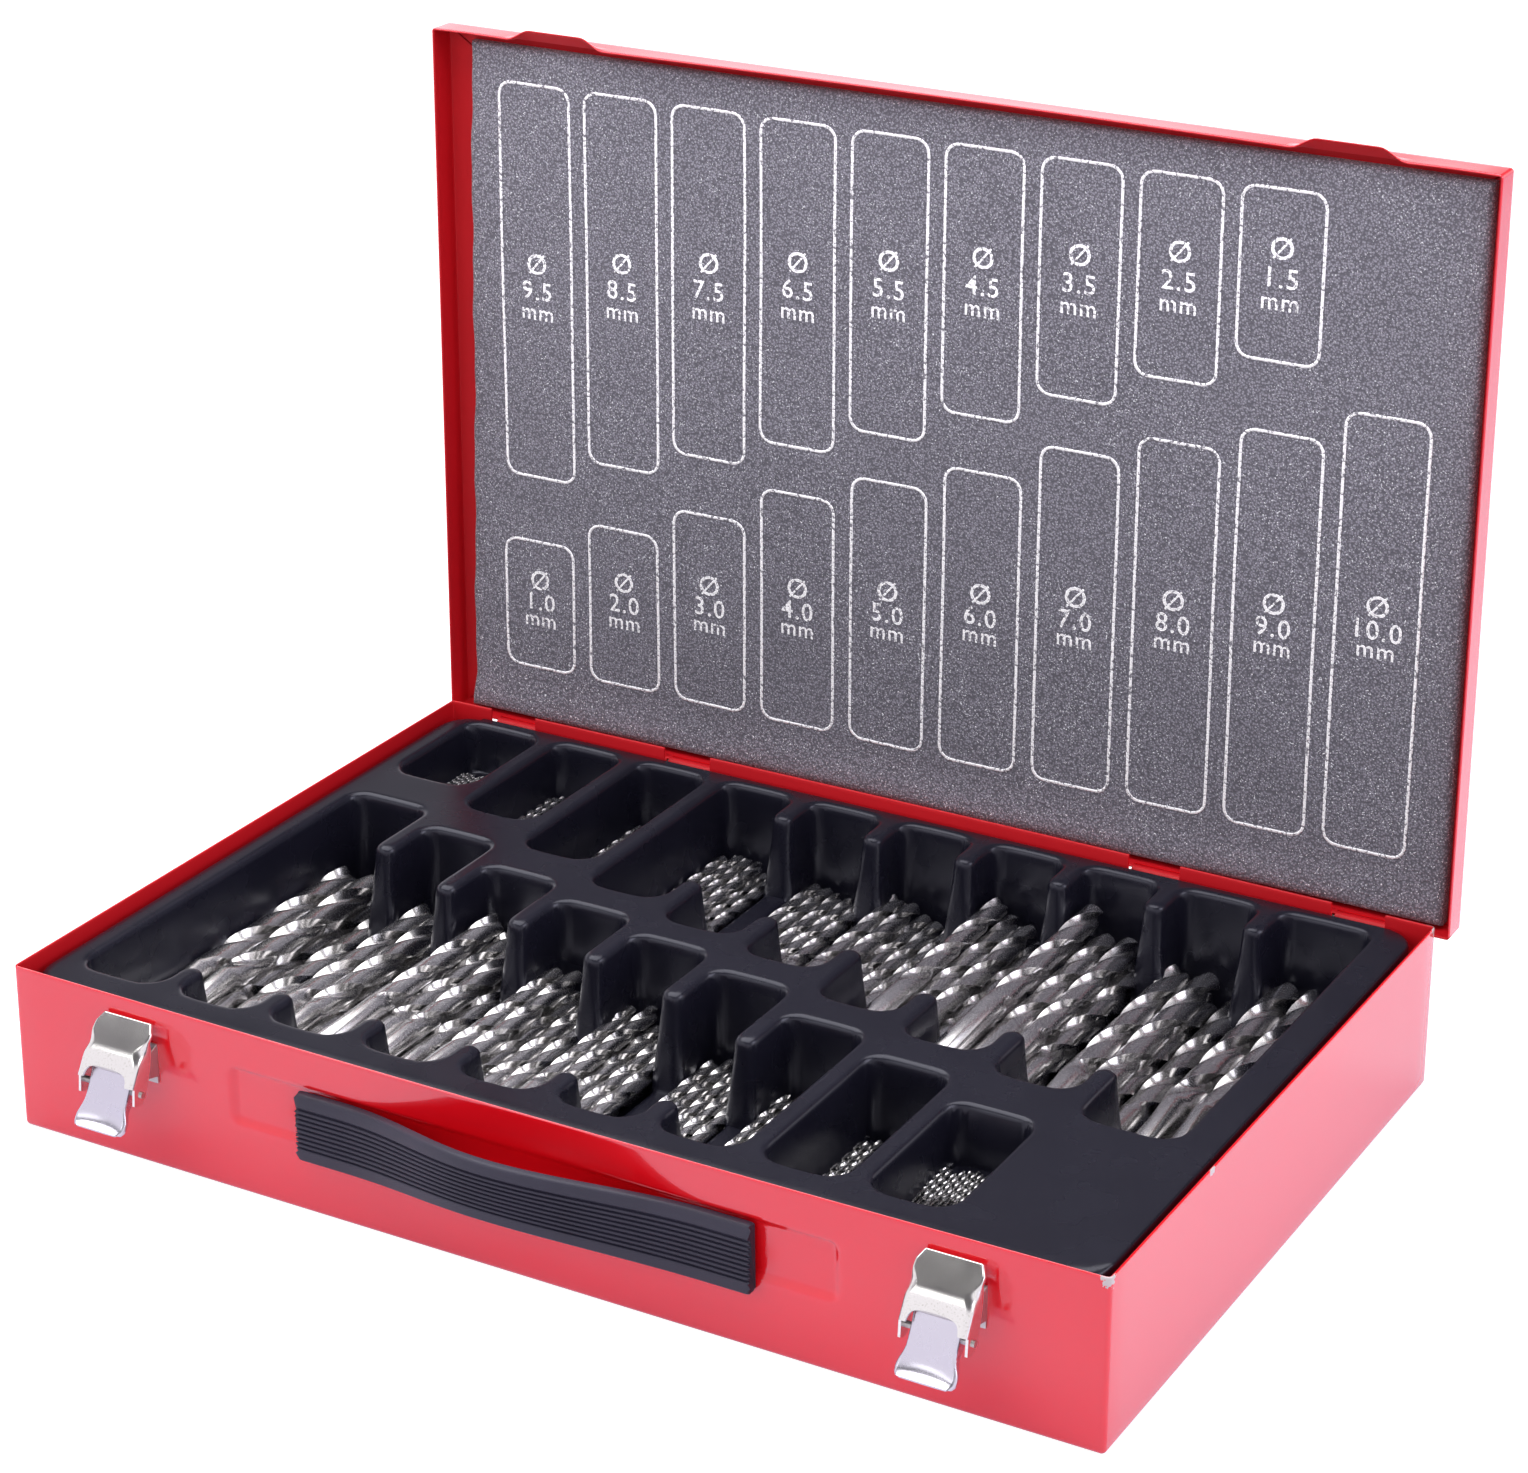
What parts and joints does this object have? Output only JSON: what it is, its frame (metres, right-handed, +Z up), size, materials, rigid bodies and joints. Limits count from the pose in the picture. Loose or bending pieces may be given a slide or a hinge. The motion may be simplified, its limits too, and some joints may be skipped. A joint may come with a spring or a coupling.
{
  "type": "drill bit case",
  "caption": "Hinged sheet-metal case for twist drills, with a formed tray of sized compartments, a foam-lined lid, two claw latches and a carrying handle.",
  "frame": {"origin": "middle of the base's flat underside", "axes": "+X along the case's width to the right, +Y from the handle to the hinges, +Z up"},
  "size_m": [0.3714, 0.2736, 0.2973],
  "materials": {
    "red_paint": "glossy red lacquer",
    "foam": "open-cell grey foam",
    "tray_plastic": "formed black sheet, satin",
    "grip_plastic": "ribbed, satin",
    "strap_steel": "plain strip",
    "pin_steel": "drawn wire",
    "rivet_steel": "plated",
    "latch_plate": "bright plated sheet",
    "drill_steel": "ground bright steel"
  },
  "bodies": {
    "base": {"base_shell": "red_paint", "tray": "tray_plastic", "hinge_wire_left": "pin_steel", "hinge_wire_right": "pin_steel", "latch_bracket_left": "latch_plate", "latch_rivets_left": "rivet_steel", "latch_lever_pin_left": "pin_steel", "latch_bracket_right": "latch_plate", "latch_rivets_right": "rivet_steel", "latch_lever_pin_right": "pin_steel", "drills_01_0": "drill_steel", "drills_01_5": "drill_steel", "drills_02_0": "drill_steel", "drills_02_5": "drill_steel", "drills_03_0": "drill_steel", "drills_03_5": "drill_steel", "drills_04_0": "drill_steel", "drills_04_5": "drill_steel", "drills_05_0": "drill_steel", "drills_05_5": "drill_steel", "drills_06_0": "drill_steel", "drills_06_5": "drill_steel", "drills_07_0": "drill_steel", "drills_07_5": "drill_steel", "drills_08_0": "drill_steel", "drills_08_5": "drill_steel", "drills_09_0": "drill_steel", "drills_09_5": "drill_steel", "drills_10_0": "drill_steel"},
    "lid": {"lid_shell": "red_paint", "lid_foam": "foam"},
    "lever_left": {"latch_lever_left": "latch_plate", "latch_claw_pin_left": "pin_steel"},
    "lever_right": {"latch_lever_right": "latch_plate", "latch_claw_pin_right": "pin_steel"},
    "claw_left": {"latch_claw_left": "latch_plate"},
    "claw_right": {"latch_claw_right": "latch_plate"},
    "handle": {"handle_strap": "strap_steel", "handle_grip": "grip_plastic"}
  },
  "joints": [
    {"name": "lid_hinge", "type": "hinge", "parent": "base", "child": "lid", "pos_m": [0, 0.1239, 0.0472], "axis": [1, 0, 0], "range_deg": [0, 90]},
    {"name": "lever_left", "type": "hinge", "parent": "base", "child": "lever_left", "pos_m": [-0.1378, -0.12955, 0.0358], "axis": [1, 0, 0], "range_deg": [0, 18]},
    {"name": "claw_left", "type": "hinge", "parent": "lever_left", "child": "claw_left", "pos_m": [-0.1378, -0.12955, 0.0298], "axis": [1, 0, 0], "range_deg": [0, 62]},
    {"name": "lever_right", "type": "hinge", "parent": "base", "child": "lever_right", "pos_m": [0.1378, -0.12955, 0.0358], "axis": [1, 0, 0], "range_deg": [0, 18]},
    {"name": "claw_right", "type": "hinge", "parent": "lever_right", "child": "claw_right", "pos_m": [0.1378, -0.12955, 0.0298], "axis": [1, 0, 0], "range_deg": [0, 62]},
    {"name": "handle_pull", "type": "slide", "parent": "base", "child": "handle", "axis": [0, -1, 0], "range_m": [0, 0.0025]}
  ]
}
